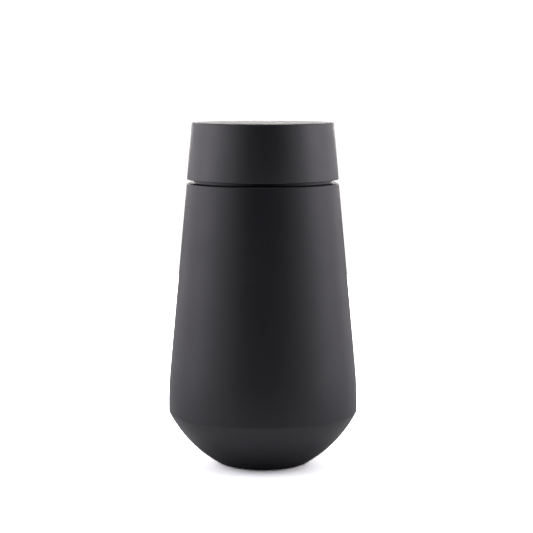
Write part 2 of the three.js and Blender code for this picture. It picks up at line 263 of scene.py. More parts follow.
# %% Small helpers for node networks
def node(tree, kind, settings=(), **inputs):
    """Adds a node. An input is named as its socket is, or by its number after an underscore."""
    made = tree.nodes.new(kind)
    for name, value in dict(settings).items():
        setattr(made, name, value)
    for name, value in inputs.items():
        socket = made.inputs[int(name[1:]) if name[1:].isdigit() else name.replace("_", " ")]
        if isinstance(value, bpy.types.NodeSocket):
            tree.links.new(value, socket)
        else:
            socket.default_value = value
    return made


def maths(tree, operation, first, second=0.0):
    return node(tree, "ShaderNodeMath", {"operation": operation}, _0=first, _1=second).outputs[0]


def between(tree, factor, low, high):
    """A number that runs from low to high as the factor runs from 0 to 1."""
    return node(
        tree, "ShaderNodeMapRange", Value=factor, To_Min=low, To_Max=high
    ).outputs["Result"]


def new_group(name, inputs, outputs):
    tree = bpy.data.node_groups.new(name, "ShaderNodeTree")
    for title, value in inputs.items():
        kind = "NodeSocketVector" if value is None else "NodeSocketFloat"
        socket = tree.interface.new_socket(title, in_out="INPUT", socket_type=kind)
        if value is not None:
            socket.default_value = value
    for title in outputs:
        tree.interface.new_socket(title, in_out="OUTPUT", socket_type="NodeSocketFloat")
    return tree, tree.nodes.new("NodeGroupInput"), tree.nodes.new("NodeGroupOutput")


def place_group(tree, group, **inputs):
    made = tree.nodes.new("ShaderNodeGroup")
    made.node_tree = group
    for name, value in inputs.items():
        socket = made.inputs[name.replace("_", " ")]
        if isinstance(value, bpy.types.NodeSocket):
            tree.links.new(value, socket)
        else:
            socket.default_value = value
    return made


# %% [markdown]
# ### Fine grain
#
# Sprayed powder cures into tiny soft pebbles, and a moulding tool is blasted so that plastic comes out with
# the same kind of skin. Two sizes of noise are mixed, so that the grain never looks like one repeated
# pattern. The group gives a height for a bump and a slow mottle that colours can follow.

# %% Group: fine grain
grain, g_in, g_out = new_group(
    "Fine grain", {"Vector": None, "Grain per metre": 3000.0}, ["Height", "Mottle"]
)
pebbles = node(
    grain,
    "ShaderNodeTexNoise",
    Vector=g_in.outputs["Vector"],
    Scale=g_in.outputs["Grain per metre"],
    Detail=2.0,
    Roughness=0.55,
)
swells = node(
    grain,
    "ShaderNodeTexNoise",
    Vector=g_in.outputs["Vector"],
    Scale=maths(grain, "MULTIPLY", g_in.outputs["Grain per metre"], 0.22),
    Detail=1.0,
)
slow = node(
    grain,
    "ShaderNodeTexNoise",
    Vector=g_in.outputs["Vector"],
    Scale=maths(grain, "MULTIPLY", g_in.outputs["Grain per metre"], 0.02),
    Detail=3.0,
)
height = maths(
    grain,
    "ADD",
    maths(grain, "MULTIPLY", pebbles.outputs["Fac"], 0.7),
    maths(grain, "MULTIPLY", swells.outputs["Fac"], 0.3),
)
grain.links.new(height, g_out.inputs["Height"])
grain.links.new(slow.outputs["Fac"], g_out.inputs["Mottle"])

# %% [markdown]
# ### Handling marks
#
# A hand leaves a film that is a little smoother or duller than the clean surface. It shows only where light
# glances off, so the group gives one soft mask, and each finish decides how far its gloss follows it.

# %% Group: handling marks
marks, m_in, m_out = new_group(
    "Handling marks", {"Vector": None, "Marks per metre": 45.0}, ["Mask"]
)
smears = node(
    marks,
    "ShaderNodeTexNoise",
    Vector=m_in.outputs["Vector"],
    Scale=m_in.outputs["Marks per metre"],
    Detail=4.0,
    Roughness=0.6,
    Distortion=0.8,
)
soft_mask = node(
    marks,
    "ShaderNodeMapRange",
    {"interpolation_type": "SMOOTHSTEP"},
    Value=smears.outputs["Fac"],
    From_Min=0.38,
    From_Max=0.68,
)
marks.links.new(soft_mask.outputs["Result"], m_out.inputs["Mask"])

# %% [markdown]
# ### Turned rings
#
# The steel is spun and polished while it turns, so its scratches run round it. Noise is stretched
# until it hardly changes round the axis but changes quickly along the wall. Height plus radius is used as
# the way along the wall, because it keeps changing on the upright wall and on the flat floor alike.

# %% Group: turned rings
rings, r_in, r_out = new_group(
    "Turned rings", {"Vector": None, "Rings per metre": 4000.0}, ["Height", "Mask"]
)
parts = node(rings, "ShaderNodeSeparateXYZ", Vector=r_in.outputs["Vector"])
from_axis = maths(
    rings,
    "SQRT",
    maths(
        rings,
        "ADD",
        maths(rings, "MULTIPLY", parts.outputs["X"], parts.outputs["X"]),
        maths(rings, "MULTIPLY", parts.outputs["Y"], parts.outputs["Y"]),
    ),
)
along_wall = maths(
    rings,
    "MULTIPLY",
    maths(rings, "ADD", parts.outputs["Z"], from_axis),
    r_in.outputs["Rings per metre"],
)
stretched = node(
    rings,
    "ShaderNodeCombineXYZ",
    X=maths(rings, "MULTIPLY", parts.outputs["X"], 12.0),
    Y=maths(rings, "MULTIPLY", parts.outputs["Y"], 12.0),
    Z=along_wall,
)
scratches = node(
    rings, "ShaderNodeTexNoise", Vector=stretched.outputs[0], Scale=1.0, Detail=3.0, Roughness=0.7
)
bands = node(
    rings,
    "ShaderNodeTexNoise",
    Vector=stretched.outputs[0],
    Scale=0.12,
    Detail=1.0,
)
rings.links.new(scratches.outputs["Fac"], r_out.inputs["Height"])
rings.links.new(bands.outputs["Fac"], r_out.inputs["Mask"])
print("groups:", [g.name for g in bpy.data.node_groups])


# %% A finish starts as one shader with its plain values
def new_finish(name, color, roughness, metallic=0.0, specular=0.5):
    made = bpy.data.materials.new(name)
    made.use_nodes = True
    tree = made.node_tree
    shader = tree.nodes["Principled BSDF"]
    shader.inputs["Base Color"].default_value = (*color, 1)
    shader.inputs["Roughness"].default_value = roughness
    shader.inputs["Metallic"].default_value = metallic
    shader.inputs["Specular IOR Level"].default_value = specular
    place = node(tree, "ShaderNodeTexCoord").outputs["Object"]
    return made, tree, shader, place


def add_bump(tree, shader, height, depth, strength=1.0):
    bump = node(tree, "ShaderNodeBump", Height=height, Distance=depth, Strength=strength)
    tree.links.new(bump.outputs["Normal"], shader.inputs["Normal"])


def shade(color, share):
    return tuple(share * part for part in color)


def tint(tree, shader, factor, dark, light):
    """Lets the base colour drift between two near shades."""
    mix = node(tree, "ShaderNodeMix", {"data_type": "RGBA"}, Factor=factor)
    mix.inputs["A"].default_value = (*dark, 1)
    mix.inputs["B"].default_value = (*light, 1)
    tree.links.new(mix.outputs["Result"], shader.inputs["Base Color"])


# %% [markdown]
# ### Charcoal coat
#
# Cup and cap have the same matt charcoal, so they share one recipe. On the steel it is a baked powder coat
# with soft pebbles; on the plastic cap it is a sprayed soft coat, finer and a touch smoother.

# %% Finish: charcoal coat
CHARCOAL = (0.0078, 0.0082, 0.0112)


def charcoal_coat(name, grain_per_metre, depth, roughness, specular):
    coat, tree, shader, place = new_finish(name, CHARCOAL, roughness, specular=specular)
    skin = place_group(tree, grain, Vector=place, Grain_per_metre=grain_per_metre)
    touch = place_group(tree, marks, Vector=place, Marks_per_metre=38.0)
    tint(tree, shader, skin.outputs["Mottle"], shade(CHARCOAL, 0.9), shade(CHARCOAL, 1.1))
    gloss = between(tree, touch.outputs["Mask"], roughness - 0.012, roughness + 0.02)
    tree.links.new(gloss, shader.inputs["Roughness"])
    add_bump(tree, shader, skin.outputs["Height"], depth)
    return coat


powder_coat = charcoal_coat(
    "charcoal powder coat", 3200.0, depth=0.016 * MM, roughness=0.465, specular=0.48
)
soft_coat = charcoal_coat(
    "charcoal soft coat", 4300.0, depth=0.009 * MM, roughness=0.46, specular=0.68
)


# %% [markdown]
# ### Steel, plastic and rubber
#
# The inside is bare steel with turned rings. The plug is moulded in a satin tool, so it has the fine grain
# and keeps some gloss. Silicone is soft, slightly see-through and dusty to the touch; a little
# subsurface light gives the ring that look without making it glass.

# %% Finish: spun steel
def spun_steel(name, color, roughness, rings_per_metre):
    steel, tree, shader, place = new_finish(name, color, roughness, metallic=1.0)
    lines = place_group(tree, rings, Vector=place, Rings_per_metre=rings_per_metre)
    touch = place_group(tree, marks, Vector=place, Marks_per_metre=60.0)
    worn = maths(
        tree,
        "ADD",
        maths(tree, "MULTIPLY", lines.outputs["Mask"], 0.65),
        maths(tree, "MULTIPLY", touch.outputs["Mask"], 0.35),
    )
    gloss = between(tree, worn, roughness - 0.07, roughness + 0.09)
    tree.links.new(gloss, shader.inputs["Roughness"])
    tint(tree, shader, lines.outputs["Mask"], shade(color, 0.93), color)
    add_bump(tree, shader, lines.outputs["Height"], 0.006 * MM)
    return steel


vessel_steel = spun_steel(
    "spun steel", (0.7, 0.69, 0.68), roughness=0.38, rings_per_metre=5200.0
)
strip_steel = spun_steel(
    "plain steel strip", (0.55, 0.54, 0.53), roughness=0.35, rings_per_metre=9000.0
)


# %% Finish: moulded plastic and silicone
def moulded(name, color, roughness, grain_per_metre, depth, subsurface=0.0):
    made, tree, shader, place = new_finish(name, color, roughness)
    shader.inputs["Subsurface Weight"].default_value = subsurface
    shader.inputs["Subsurface Scale"].default_value = 1.5 * MM
    skin = place_group(tree, grain, Vector=place, Grain_per_metre=grain_per_metre)
    touch = place_group(tree, marks, Vector=place, Marks_per_metre=70.0)
    tint(tree, shader, skin.outputs["Mottle"], shade(color, 0.88), shade(color, 1.1))
    gloss = between(tree, touch.outputs["Mask"], roughness - 0.05, roughness + 0.06)
    tree.links.new(gloss, shader.inputs["Roughness"])
    add_bump(tree, shader, skin.outputs["Height"], depth)
    return made


plug_plastic = moulded("satin black plastic", (0.014, 0.014, 0.015), 0.38, 6500.0, 0.012 * MM)
cap_disc_plastic = moulded("matt black plastic", (0.017, 0.017, 0.018), 0.55, 4200.0, 0.03 * MM)
foot_silicone = moulded("black silicone", (0.013, 0.013, 0.014), 0.62, 5200.0, 0.02 * MM)
ring_silicone = moulded(
    "grey silicone", (0.27, 0.27, 0.26), 0.42, 7000.0, 0.008 * MM, subsurface=0.15
)

# %% [markdown]
# ### What is hidden in the vacuum and in the lid
#
# These finishes are seen only when the tumbler is taken apart. Copper foil is thin enough to crinkle as it
# is wrapped. The getter is pressed metal powder. The bead is fused solder glass. The lid's core is a
# fine-celled foam, and the disc that bonds it is a soft tape.

# %% Finish: copper foil
copper, tree, shader, place = new_finish("copper foil", (0.78, 0.4, 0.25), 0.24, metallic=1.0)
folds = node(tree, "ShaderNodeTexVoronoi", {"feature": "F1"}, Vector=place, Scale=170.0)
wrinkles = node(tree, "ShaderNodeTexNoise", Vector=place, Scale=420.0, Detail=3.0)
crinkle = maths(
    tree,
    "ADD",
    maths(tree, "MULTIPLY", folds.outputs["Distance"], 0.6),
    maths(tree, "MULTIPLY", wrinkles.outputs["Fac"], 0.4),
)
add_bump(tree, shader, crinkle, 0.25 * MM)
touch = place_group(tree, marks, Vector=place, Marks_per_metre=90.0)
tree.links.new(between(tree, touch.outputs["Mask"], 0.2, 0.34), shader.inputs["Roughness"])
tint(tree, shader, touch.outputs["Mask"], (0.7, 0.33, 0.19), (0.82, 0.45, 0.3))

# %% Finish: getter powder, solder glass, foam and tape
getter_powder = moulded("pressed getter powder", (0.085, 0.08, 0.075), 0.8, 9000.0, 0.05 * MM)
solder_glass = moulded("solder glass", (0.03, 0.042, 0.036), 0.12, 1800.0, 0.01 * MM)
tape = moulded("soft bonding tape", (0.62, 0.61, 0.56), 0.85, 2600.0, 0.06 * MM)

foam, tree, shader, place = new_finish("insulating foam", (0.74, 0.73, 0.67), 0.9)
cells = node(tree, "ShaderNodeTexVoronoi", {"feature": "F1"}, Vector=place, Scale=1100.0)
lumps = node(tree, "ShaderNodeTexNoise", Vector=place, Scale=90.0, Detail=3.0)
tint(tree, shader, lumps.outputs["Fac"], (0.66, 0.64, 0.57), (0.8, 0.79, 0.74))
add_bump(tree, shader, cells.outputs["Distance"], 0.25 * MM)
print("finishes:", len(bpy.data.materials))

# %% [markdown]
# ## The coated cup
#
# The outside is two pressings welded at the crease: a tapered shell and a rounded underside. The weld is
# ground flush and coated over, so on the real cup it can't be seen, and here both pressings are one skin.
# The skin is drawn once, as a single line from the port under the foot to the top of the neck.
#
# The long curve above the belly is a true arc. It leaves the upright where the taper's angle says it must,
# so the two meet without a corner. The underside is an arc too, from the foot's rim to the crease.

# %% Where the cup's arcs begin and end
taper = math.atan2(BELLY_R - SHOULDER_R, SHOULDER_Z - TAPER_FOOT_Z)
knee_set_back = KNEE_R * math.tan(taper / 2)


def bowl_centre():
    """The centre of the underside's arc, from its two ends and its radius."""
    across, up = BELLY_R - FOOT_RIM_R, CREASE_Z - FOOT_RIM_Z
    chord = math.hypot(across, up)
    depth = math.sqrt(BOWL_R**2 - (chord / 2) ** 2)
    middle = ((BELLY_R + FOOT_RIM_R) / 2, (CREASE_Z + FOOT_RIM_Z) / 2)
    return middle[0] - depth * up / chord, middle[1] + depth * across / chord


BOWL_CENTRE = bowl_centre()


def bowl_angle(radius, height):
    return math.degrees(math.atan2(height - BOWL_CENTRE[1], radius - BOWL_CENTRE[0]))


bowl_sweep = bowl_angle(BELLY_R, CREASE_Z) - bowl_angle(FOOT_RIM_R, FOOT_RIM_Z)
print(f"taper {math.degrees(taper):.2f} degrees, underside sweeps {bowl_sweep:.1f} degrees")

# %% Draw the coated skin, spin it, and give it the steel's thickness
skin = Section("coated_cup", PORT_R, DIMPLE_ROOF_Z)
skin.to(DIMPLE_R, DIMPLE_ROOF_Z).to(DIMPLE_R + DIMPLE_SPREAD, RECESS_Z).to(RECESS_R, RECESS_Z)
skin.to(RECESS_R, FOOT_RIM_Z).to(FOOT_RIM_R, FOOT_RIM_Z)
skin.arc(BOWL_CENTRE, bowl_sweep, 28)
skin.to(BELLY_R, TAPER_FOOT_Z - knee_set_back)
skin.arc((BELLY_R - KNEE_R, skin.at[1]), math.degrees(taper), 16)
knee_r, knee_z = skin.at
for share in (0.25, 0.5, 0.75):
    skin.to(knee_r + (SHOULDER_R - knee_r) * share, knee_z + (SHOULDER_Z - knee_z) * share)
skin.to(SHOULDER_R, SHOULDER_Z).to(NECK_R, SHOULDER_Z).to(NECK_R, NECK_TOP_Z)
skin.soften(SHOULDER_R, SHOULDER_Z, 0.5 * MM, 6)
skin.soften(NECK_R, SHOULDER_Z, 0.6 * MM, 5)
skin.soften(BELLY_R, CREASE_Z, 0.55 * MM, 6)
skin.soften(FOOT_RIM_R, FOOT_RIM_Z, 0.35 * MM, 4)
skin.soften(RECESS_R, FOOT_RIM_Z, 0.3 * MM, 4)
skin.soften(RECESS_R, RECESS_Z, 0.3 * MM, 4)
skin.soften(DIMPLE_R, DIMPLE_ROOF_Z, 0.25 * MM, 4)
skin.soften(DIMPLE_R + DIMPLE_SPREAD, RECESS_Z, 0.3 * MM, 4)
coated_cup = skin.spin()
apply_modifier(
    coated_cup, "SOLIDIFY", thickness=OUTER_WALL, offset=-1, use_even_offset=True, use_rim=True
)
settle(coated_cup, "cup", "outer_shell", "outer_bottom", finish=powder_coat)

# %% [markdown]
# ## Thread ribs
#
# The lid has three thread starts, so that it comes off in less than a turn. A rib has a small tapering
# section with a rounded crest. The Screw modifier sweeps it round and up at once, which gives a true
# helix. The last sections at each end are then scaled down towards the wall, so that the rib runs out into
# it as a rolled or moulded thread does, and the rib is joined to the wall that carries it.

# %% One rib, then three of them round the axis
THREAD_Z = 127.6 * MM
STARTS = 3
RIB_STEP = 3  # degrees from one section of a rib to the next
RUN_OUT = ((0, 0.3), (RIB_STEP, 0.8))  # degrees from an end, and how much of the rib stands there
RIB_FOOT = 1 * MM  # half of a rib's height at the wall
RIB_CREST = 0.4 * MM  # and at its crest


def thread_ribs(root, crest, first_degrees, first_height, turn_degrees):
    made = []
    for start in range(STARTS):
        rib = Section("rib", root, -RIB_FOOT)
        rib.to(crest, -RIB_CREST).to(crest, RIB_CREST).to(root, RIB_FOOT).close()
        rib.soften(crest, -RIB_CREST, 0.22 * MM, 3).soften(crest, RIB_CREST, 0.22 * MM, 3)
        apply_modifier(
            rib.piece,
            "SCREW",
            axis="Z",
            angle=math.radians(turn_degrees),
            screw_offset=LEAD * turn_degrees / 360,
            steps=turn_degrees // RIB_STEP,
            render_steps=turn_degrees // RIB_STEP,
            use_merge_vertices=False,
            use_smooth_shade=False,
        )
        bpy.ops.object.mode_set(mode="EDIT")
        bpy.ops.mesh.select_all(action="SELECT")
        bpy.ops.mesh.fill_holes(sides=0)
        bpy.ops.mesh.select_all(action="SELECT")
        bpy.ops.mesh.normals_make_consistent(inside=False)
        bpy.ops.object.mode_set(mode="OBJECT")
        far_end = [(turn_degrees - degrees, share) for degrees, share in RUN_OUT]
        for degrees, share in [*RUN_OUT, *far_end]:
            turn = math.radians(degrees)
            foot = (root * math.cos(turn), root * math.sin(turn), LEAD * degrees / 360)
            select_points(
                rib.piece,
                lambda x, y, z, turn=turn: abs(x * math.sin(turn) - y * math.cos(turn)) < 0.01 * MM
                and x * math.cos(turn) + y * math.sin(turn) > 0,
            )
            bpy.ops.transform.resize(value=(share, share, share), center_override=foot)
            bpy.ops.object.mode_set(mode="OBJECT")
        rib.piece.rotation_euler.z = math.radians(first_degrees + 360 / STARTS * start)
        rib.piece.location.z = first_height
        deselect_all()
        rib.piece.select_set(True)
        bpy.ops.object.transform_apply(location=True, rotation=True, scale=True)
        made.append(rib.piece)
    return made


# %% [markdown]
# ## The steel vessel
#
# The inner vessel holds the drink. It follows the cup's outside at an even distance, so that the vacuum
# space has the same width all the way down. Its rim is rolled outwards over the neck and welded there,
# which gives the smooth lip that is drunk from. Low on the wall a slight ring is left by the weld of the
# bottom pressing. The female thread is rolled into the neck.

# %% Draw the wet side, spin it, give it a wall, then add the thread
wet_circle = BOWL_R - WET_DEPTH
wet_belly = BELLY_R - WET_DEPTH
knee_at = TAPER_FOOT_Z - knee_set_back
well_r = BOWL_CENTRE[0] + math.sqrt(wet_circle**2 - (WELL_Z - BOWL_CENTRE[1]) ** 2)
bend_z = BOWL_CENTRE[1] - math.sqrt(wet_circle**2 - (wet_belly - BOWL_CENTRE[0]) ** 2)
wet_sweep = bowl_angle(wet_belly, bend_z) - bowl_angle(well_r, WELL_Z)

wet = Section("steel_vessel", 0, WELL_Z)
wet.to(well_r, WELL_Z).arc(BOWL_CENTRE, wet_sweep, 24)
for out, up in ((0, -0.4 * MM), (-0.12 * MM, 0), (0, 0.4 * MM)):
    wet.to(wet_belly + out, WELD_RING_Z + up)
wet.to(wet_belly, knee_at).arc((BELLY_R - KNEE_R, knee_at), math.degrees(taper), 14)
mouth_foot_z = wet.at[1] + (wet.at[0] - MOUTH_R) / math.tan(taper)
wet.to(MOUTH_R, mouth_foot_z).to(MOUTH_R, LIP_TOP_Z).to(NECK_R, LIP_TOP_Z)
wet.to(NECK_R, NECK_TOP_Z + 0.1 * MM)
wet.soften(MOUTH_R, LIP_TOP_Z, 0.62 * MM, 7).soften(NECK_R, LIP_TOP_Z, 0.62 * MM, 7)
wet.soften(MOUTH_R, mouth_foot_z, 2.5 * MM, 6)
wet.soften(well_r, WELL_Z, 3 * MM, 6)
wet.soften(wet_belly, bend_z, 0.8 * MM, 4)
steel_vessel = wet.spin()
apply_modifier(
    steel_vessel, "SOLIDIFY", thickness=INNER_WALL, offset=1, use_even_offset=True, use_rim=True
)
early = 0.4  # degrees, so that no rib's section lies exactly on one of the wall's edges
mouth_ribs = thread_ribs(
    root=MOUTH_R + 0.25 * MM,
    crest=MOUTH_R - 1.1 * MM,
    first_degrees=early,
    first_height=THREAD_Z + LEAD * early / 360,
    turn_degrees=150,
)
combine(steel_vessel, mouth_ribs, "UNION")
settle(steel_vessel, "cup", "inner_vessel", "inner_bottom", finish=vessel_steel)

# %% [markdown]
# ## The foot
#
# A soft pad keeps the cup from sliding and from ringing on a hard table. It is moulded, with an outer ring
# that takes the weight and low grip rings inside it. Above it a thin disc covers the port where the air was
# drawn out. Both are spun sections; the grip rings are drawn into the pad's own line.

# %% The foot pad and the disc above it
relief = 0.5 * MM  # how high the pad's underside lies between its rings
pad_r, pad_top_z = 19.6 * MM, 1.7 * MM
pad_corners = []
for ring_r in (5.5 * MM, 10.5 * MM):
    for offset, low in ((-1, relief), (-0.6, 0), (0.6, 0), (1, relief)):
        pad_corners.append((ring_r + offset * MM, low))
pad_corners += [(15 * MM, relief), (15.5 * MM, 0), (pad_r, 0)]
pad = Section("foot_pad_moulded", 0, relief)
for corner in pad_corners:
    pad.to(*corner)
pad.to(pad_r, pad_top_z).to(0, pad_top_z)
for corner in pad_corners:
    pad.soften(*corner, 0.18 * MM, 4)
pad.soften(pad_r, pad_top_z, 0.15 * MM, 3)
settle(pad.spin(), "cup", "foot_pad", finish=foot_silicone)

disc_r, disc_foot_z, disc_top_z = 19.55 * MM, 2 * MM, 2.9 * MM
disc = Section("port_cover_disc", 0, disc_foot_z)
disc.to(disc_r, disc_foot_z).to(disc_r, disc_top_z).to(6 * MM, disc_top_z)
disc.to(5.6 * MM, 2.6 * MM).to(0, 2.6 * MM)
disc.soften(disc_r, disc_foot_z, 0.2 * MM, 3).soften(disc_r, disc_top_z, 0.2 * MM, 3)
disc.soften(6 * MM, disc_top_z, 0.1 * MM, 3)
settle(disc.spin(96), "cup", "base_cap", finish=cap_disc_plastic)

# %% [markdown]
# ## The cap
#
# The cap is one moulding with a flat top and slightly sloping sides that carry on the cup's own slope. Its
# inside has six upright keys, which fit notches in the plug so that the two turn together, and six snap
# lugs that hold the plug up. A key is a cube stretched to size, with its long edges bevelled, joined to the
# wall; one is made and the others are turned copies.

# %% The cap's body
cap_slope = (CAP_FOOT_R - CAP_TOP_R) / (TOP_Z - CAP_FOOT_Z)


def cap_radius(height):
    return CAP_FOOT_R - cap_slope * (height - CAP_FOOT_Z)


lining_z = TOP_Z - CAP_WALL
shell = Section("cap_moulded", 0, TOP_Z)
shell.to(24 * MM, TOP_Z).to(CAP_TOP_R, TOP_Z).to(CAP_FOOT_R, CAP_FOOT_Z)
shell.to(CAP_FOOT_R - CAP_WALL, CAP_FOOT_Z)
shell.to(cap_radius(lining_z) - CAP_WALL, lining_z).to(0, lining_z)
shell.soften(CAP_TOP_R, TOP_Z, 0.5 * MM, 7)
shell.soften(CAP_FOOT_R, CAP_FOOT_Z, 0.4 * MM, 6)
shell.soften(CAP_FOOT_R - CAP_WALL, CAP_FOOT_Z, 0.25 * MM, 4)
shell.soften(cap_radius(lining_z) - CAP_WALL, lining_z, 1 * MM, 6)
cap = shell.spin()


# %% Keys and lugs
def blocks_round(count, first_degrees, inner, outer, low, high, width, bevel):
    """Copies of one bevelled block, spaced evenly round the axis."""
    made = []
    for i in range(count):
        deselect_all()
        bpy.ops.mesh.primitive_cube_add(size=1, location=((inner + outer) / 2, 0, (low + high) / 2))
        block = bpy.context.object
        block.scale = (outer - inner, width, high - low)
        bpy.ops.object.transform_apply(location=True, rotation=True, scale=True)
        bpy.ops.object.mode_set(mode="EDIT")
        bpy.ops.mesh.select_all(action="SELECT")
        bpy.ops.mesh.bevel(offset=bevel, segments=3, profile=0.5, affect="EDGES")
        bpy.ops.object.mode_set(mode="OBJECT")
        block.rotation_euler.z = math.radians(first_degrees + 360 / count * i)
        bpy.ops.object.transform_apply(location=True, rotation=True, scale=True)
        made.append(block)
    return made


KEYS = 6
wall_r = cap_radius(FLANGE_Z) - 0.6 * MM  # inside the wall's own thickness, for a sound join
keys = blocks_round(
    KEYS,
    first_degrees=0,
    inner=31.6 * MM,
    outer=wall_r,
    low=FLANGE_Z + 0.2 * MM,
    high=FLANGE_Z + 3.8 * MM,
    width=1.4 * MM,
    bevel=0.2 * MM,
)
lugs = blocks_round(
    KEYS,
    first_degrees=30,
    inner=31.9 * MM,
    outer=wall_r,
    low=FLANGE_Z - 1.3 * MM,
    high=FLANGE_Z - 0.3 * MM,
    width=4 * MM,
    bevel=0.25 * MM,
)
combine(cap, keys + lugs, "UNION")
settle(cap, "lid", "lid_shell", finish=soft_coat)

# %% [markdown]
# ## The plug
#
# The plug reaches deep into the mouth. It is a cup of its own, open upwards, filled with foam and closed
# with a disc. Half way up it has a flange, with a groove under it for the sealing ring and notches for
# the cap's keys. Its underside meets the drink, so it has no sharp corners: a standing rim, a shallow
# field, and in the middle the small round mark where the plastic entered the mould.

# %% Section, notches and thread of the plug
field_r, field_z = 24.2 * MM, PLUG_FOOT_Z + 0.6 * MM
rim_r = 25 * MM
bore_r, bore_floor_z = PLUG_R - PLUG_WALL, PLUG_FOOT_Z + 2 * MM
groove_r, groove_z = 28.6 * MM, 142.6 * MM
flange_top_z = FLANGE_Z + FLANGE_THICK
plug_line = Section("plug_moulded", 0, field_z + 0.25 * MM)
for gate_r, rise in ((1.1, 0.25), (1.5, -0.1), (2.3, -0.1), (2.7, 0)):
    plug_line.to(gate_r * MM, field_z + rise * MM)
plug_line.to(field_r, field_z).to(rim_r, PLUG_FOOT_Z).to(PLUG_R, PLUG_FOOT_Z)
plug_line.to(PLUG_R, groove_z).to(groove_r, groove_z).to(groove_r, FLANGE_Z)
plug_line.to(FLANGE_R, FLANGE_Z).to(FLANGE_R, flange_top_z).to(PLUG_R, flange_top_z)
plug_line.to(PLUG_R, PLUG_TOP_Z).to(bore_r, PLUG_TOP_Z).to(bore_r, bore_floor_z).to(0, bore_floor_z)
plug_line.soften(PLUG_R, PLUG_FOOT_Z, 1.2 * MM, 8)
plug_line.soften(rim_r, PLUG_FOOT_Z, 0.35 * MM, 4)
plug_line.soften(field_r, field_z, 0.35 * MM, 4)
plug_line.soften(PLUG_R, groove_z, 0.15 * MM, 3)
plug_line.soften(groove_r, groove_z, 0.15 * MM, 3)
plug_line.soften(FLANGE_R, FLANGE_Z, 0.3 * MM, 4)
plug_line.soften(FLANGE_R, flange_top_z, 0.3 * MM, 4)
plug_line.soften(PLUG_R, flange_top_z, 0.4 * MM, 4)
plug_line.soften(bore_r, bore_floor_z, 0.8 * MM, 5)
plug = plug_line.spin()

notches = blocks_round(
    KEYS,
    first_degrees=0,
    inner=FLANGE_R - 1 * MM,
    outer=FLANGE_R + 1 * MM,
    low=FLANGE_Z - 1 * MM,
    high=flange_top_z + 1 * MM,
    width=2 * MM,
    bevel=0.2 * MM,
)
combine(plug, notches, "DIFFERENCE")
late = 3.75  # the plug's ribs start a little later round the helix than the mouth's
hang = 1.45 * MM  # and lie this far below them
ribs = thread_ribs(
    root=PLUG_R - 0.3 * MM,
    crest=PLUG_R + 1.2 * MM,
    first_degrees=late,
    first_height=THREAD_Z - hang + LEAD * late / 360,
    turn_degrees=120,
)
combine(plug, ribs, "UNION")
settle(plug, "lid", "lid_liner", finish=plug_plastic)

# %% [markdown]
# ## The sealing ring
#
# The ring lies flat on the lip when the lid is tight. Its inner edge sits in the plug's groove. A real one
# is not a plain washer: a thin web joins a thicker inner bead to an outer bead that does the sealing.

# %% Sealing ring
ring_foot_z, ring_top_z = 142.75 * MM, 144.25 * MM
ring_outer_r = 31.6 * MM
sunk = 0.3 * MM  # how far the web lies below the two beads, on each side
half_ring = [(28.85 * MM, 0), (29.7 * MM, 0), (30.1 * MM, sunk), (30.5 * MM, 0), (ring_outer_r, 0)]
ring_corners = [(r, ring_foot_z + inset) for r, inset in half_ring]
ring_corners += [(r, ring_top_z - inset) for r, inset in reversed(half_ring)]
ring = Section("sealing_ring", *ring_corners[0])
for corner in ring_corners[1:]:
    ring.to(*corner)
ring.close()
for corner_r, corner_z in ring_corners:
    if corner_r == ring_outer_r:
        ring.soften(corner_r, corner_z, 0.45 * MM, 6)
    else:
        ring.soften(corner_r, corner_z, 0.15 * MM, 3)
settle(ring.spin(), "seal", "lid_gasket", finish=ring_silicone)

# %% [markdown]
# ## Hidden pieces
#
# The lid's foam, the disc that closes it in and the tape above it are spun too, with their edges softened.
# In the vacuum space, the foil is a thin sheet wrapped most of the way round, the getter is a pressed
# pellet with a shallow dish, and the bead is a drop of glass that ran into the port before it set.

# %% Foam core, its cover and the bonding tape
core_r = bore_r - 0.3 * MM
core_foot_z, core_top_z = 126.3 * MM, 155.8 * MM
core = Section("foam_core", 0, core_foot_z)
core.to(core_r, core_foot_z).to(core_r, core_top_z).to(0, core_top_z)
core.soften(core_r, core_foot_z, 1.2 * MM, 5).soften(core_r, core_top_z, 0.6 * MM, 4)
settle(core.spin(128), "lid", "lid_insulation", finish=foam)

cover_foot_z = core_top_z + 0.3 * MM
dish_z = PLUG_TOP_Z - 0.4 * MM
cover = Section("core_cover", 0, cover_foot_z)
cover.to(core_r, cover_foot_z).to(core_r, PLUG_TOP_Z).to(core_r - 2 * MM, PLUG_TOP_Z)
cover.to(core_r - 2.6 * MM, dish_z).to(0, dish_z)
for corner in ((core_r, cover_foot_z), (core_r, PLUG_TOP_Z), (core_r - 2 * MM, PLUG_TOP_Z)):
    cover.soften(*corner, 0.2 * MM, 3)
settle(cover.spin(128), "lid", "lid_core_cover", finish=plug_plastic)

tape_r = 25 * MM
tape_foot_z, tape_top_z = PLUG_TOP_Z + 0.3 * MM, lining_z - 0.3 * MM
bond = Section("bonding_tape", 0, tape_foot_z)
bond.to(tape_r, tape_foot_z).to(tape_r, tape_top_z).to(0, tape_top_z)
bond.soften(tape_r, tape_foot_z, 0.12 * MM, 3).soften(tape_r, tape_top_z, 0.12 * MM, 3)
settle(bond.spin(128), "lid", "lid_bond_pad", finish=tape)

# %% Copper foil, wrapped a little short of a full turn
FOIL_FOOT_Z = 50 * MM
FOIL_TOP_Z = 118 * MM
FOIL_STEPS = 12


def foil_radius(height):
    """Just outside the vessel's outer face on the long taper."""
    outer_skin = SHOULDER_R + math.tan(taper) * (SHOULDER_Z - height)
    return outer_skin - (WET_DEPTH - INNER_WALL) / math.cos(taper) + 0.3 * MM


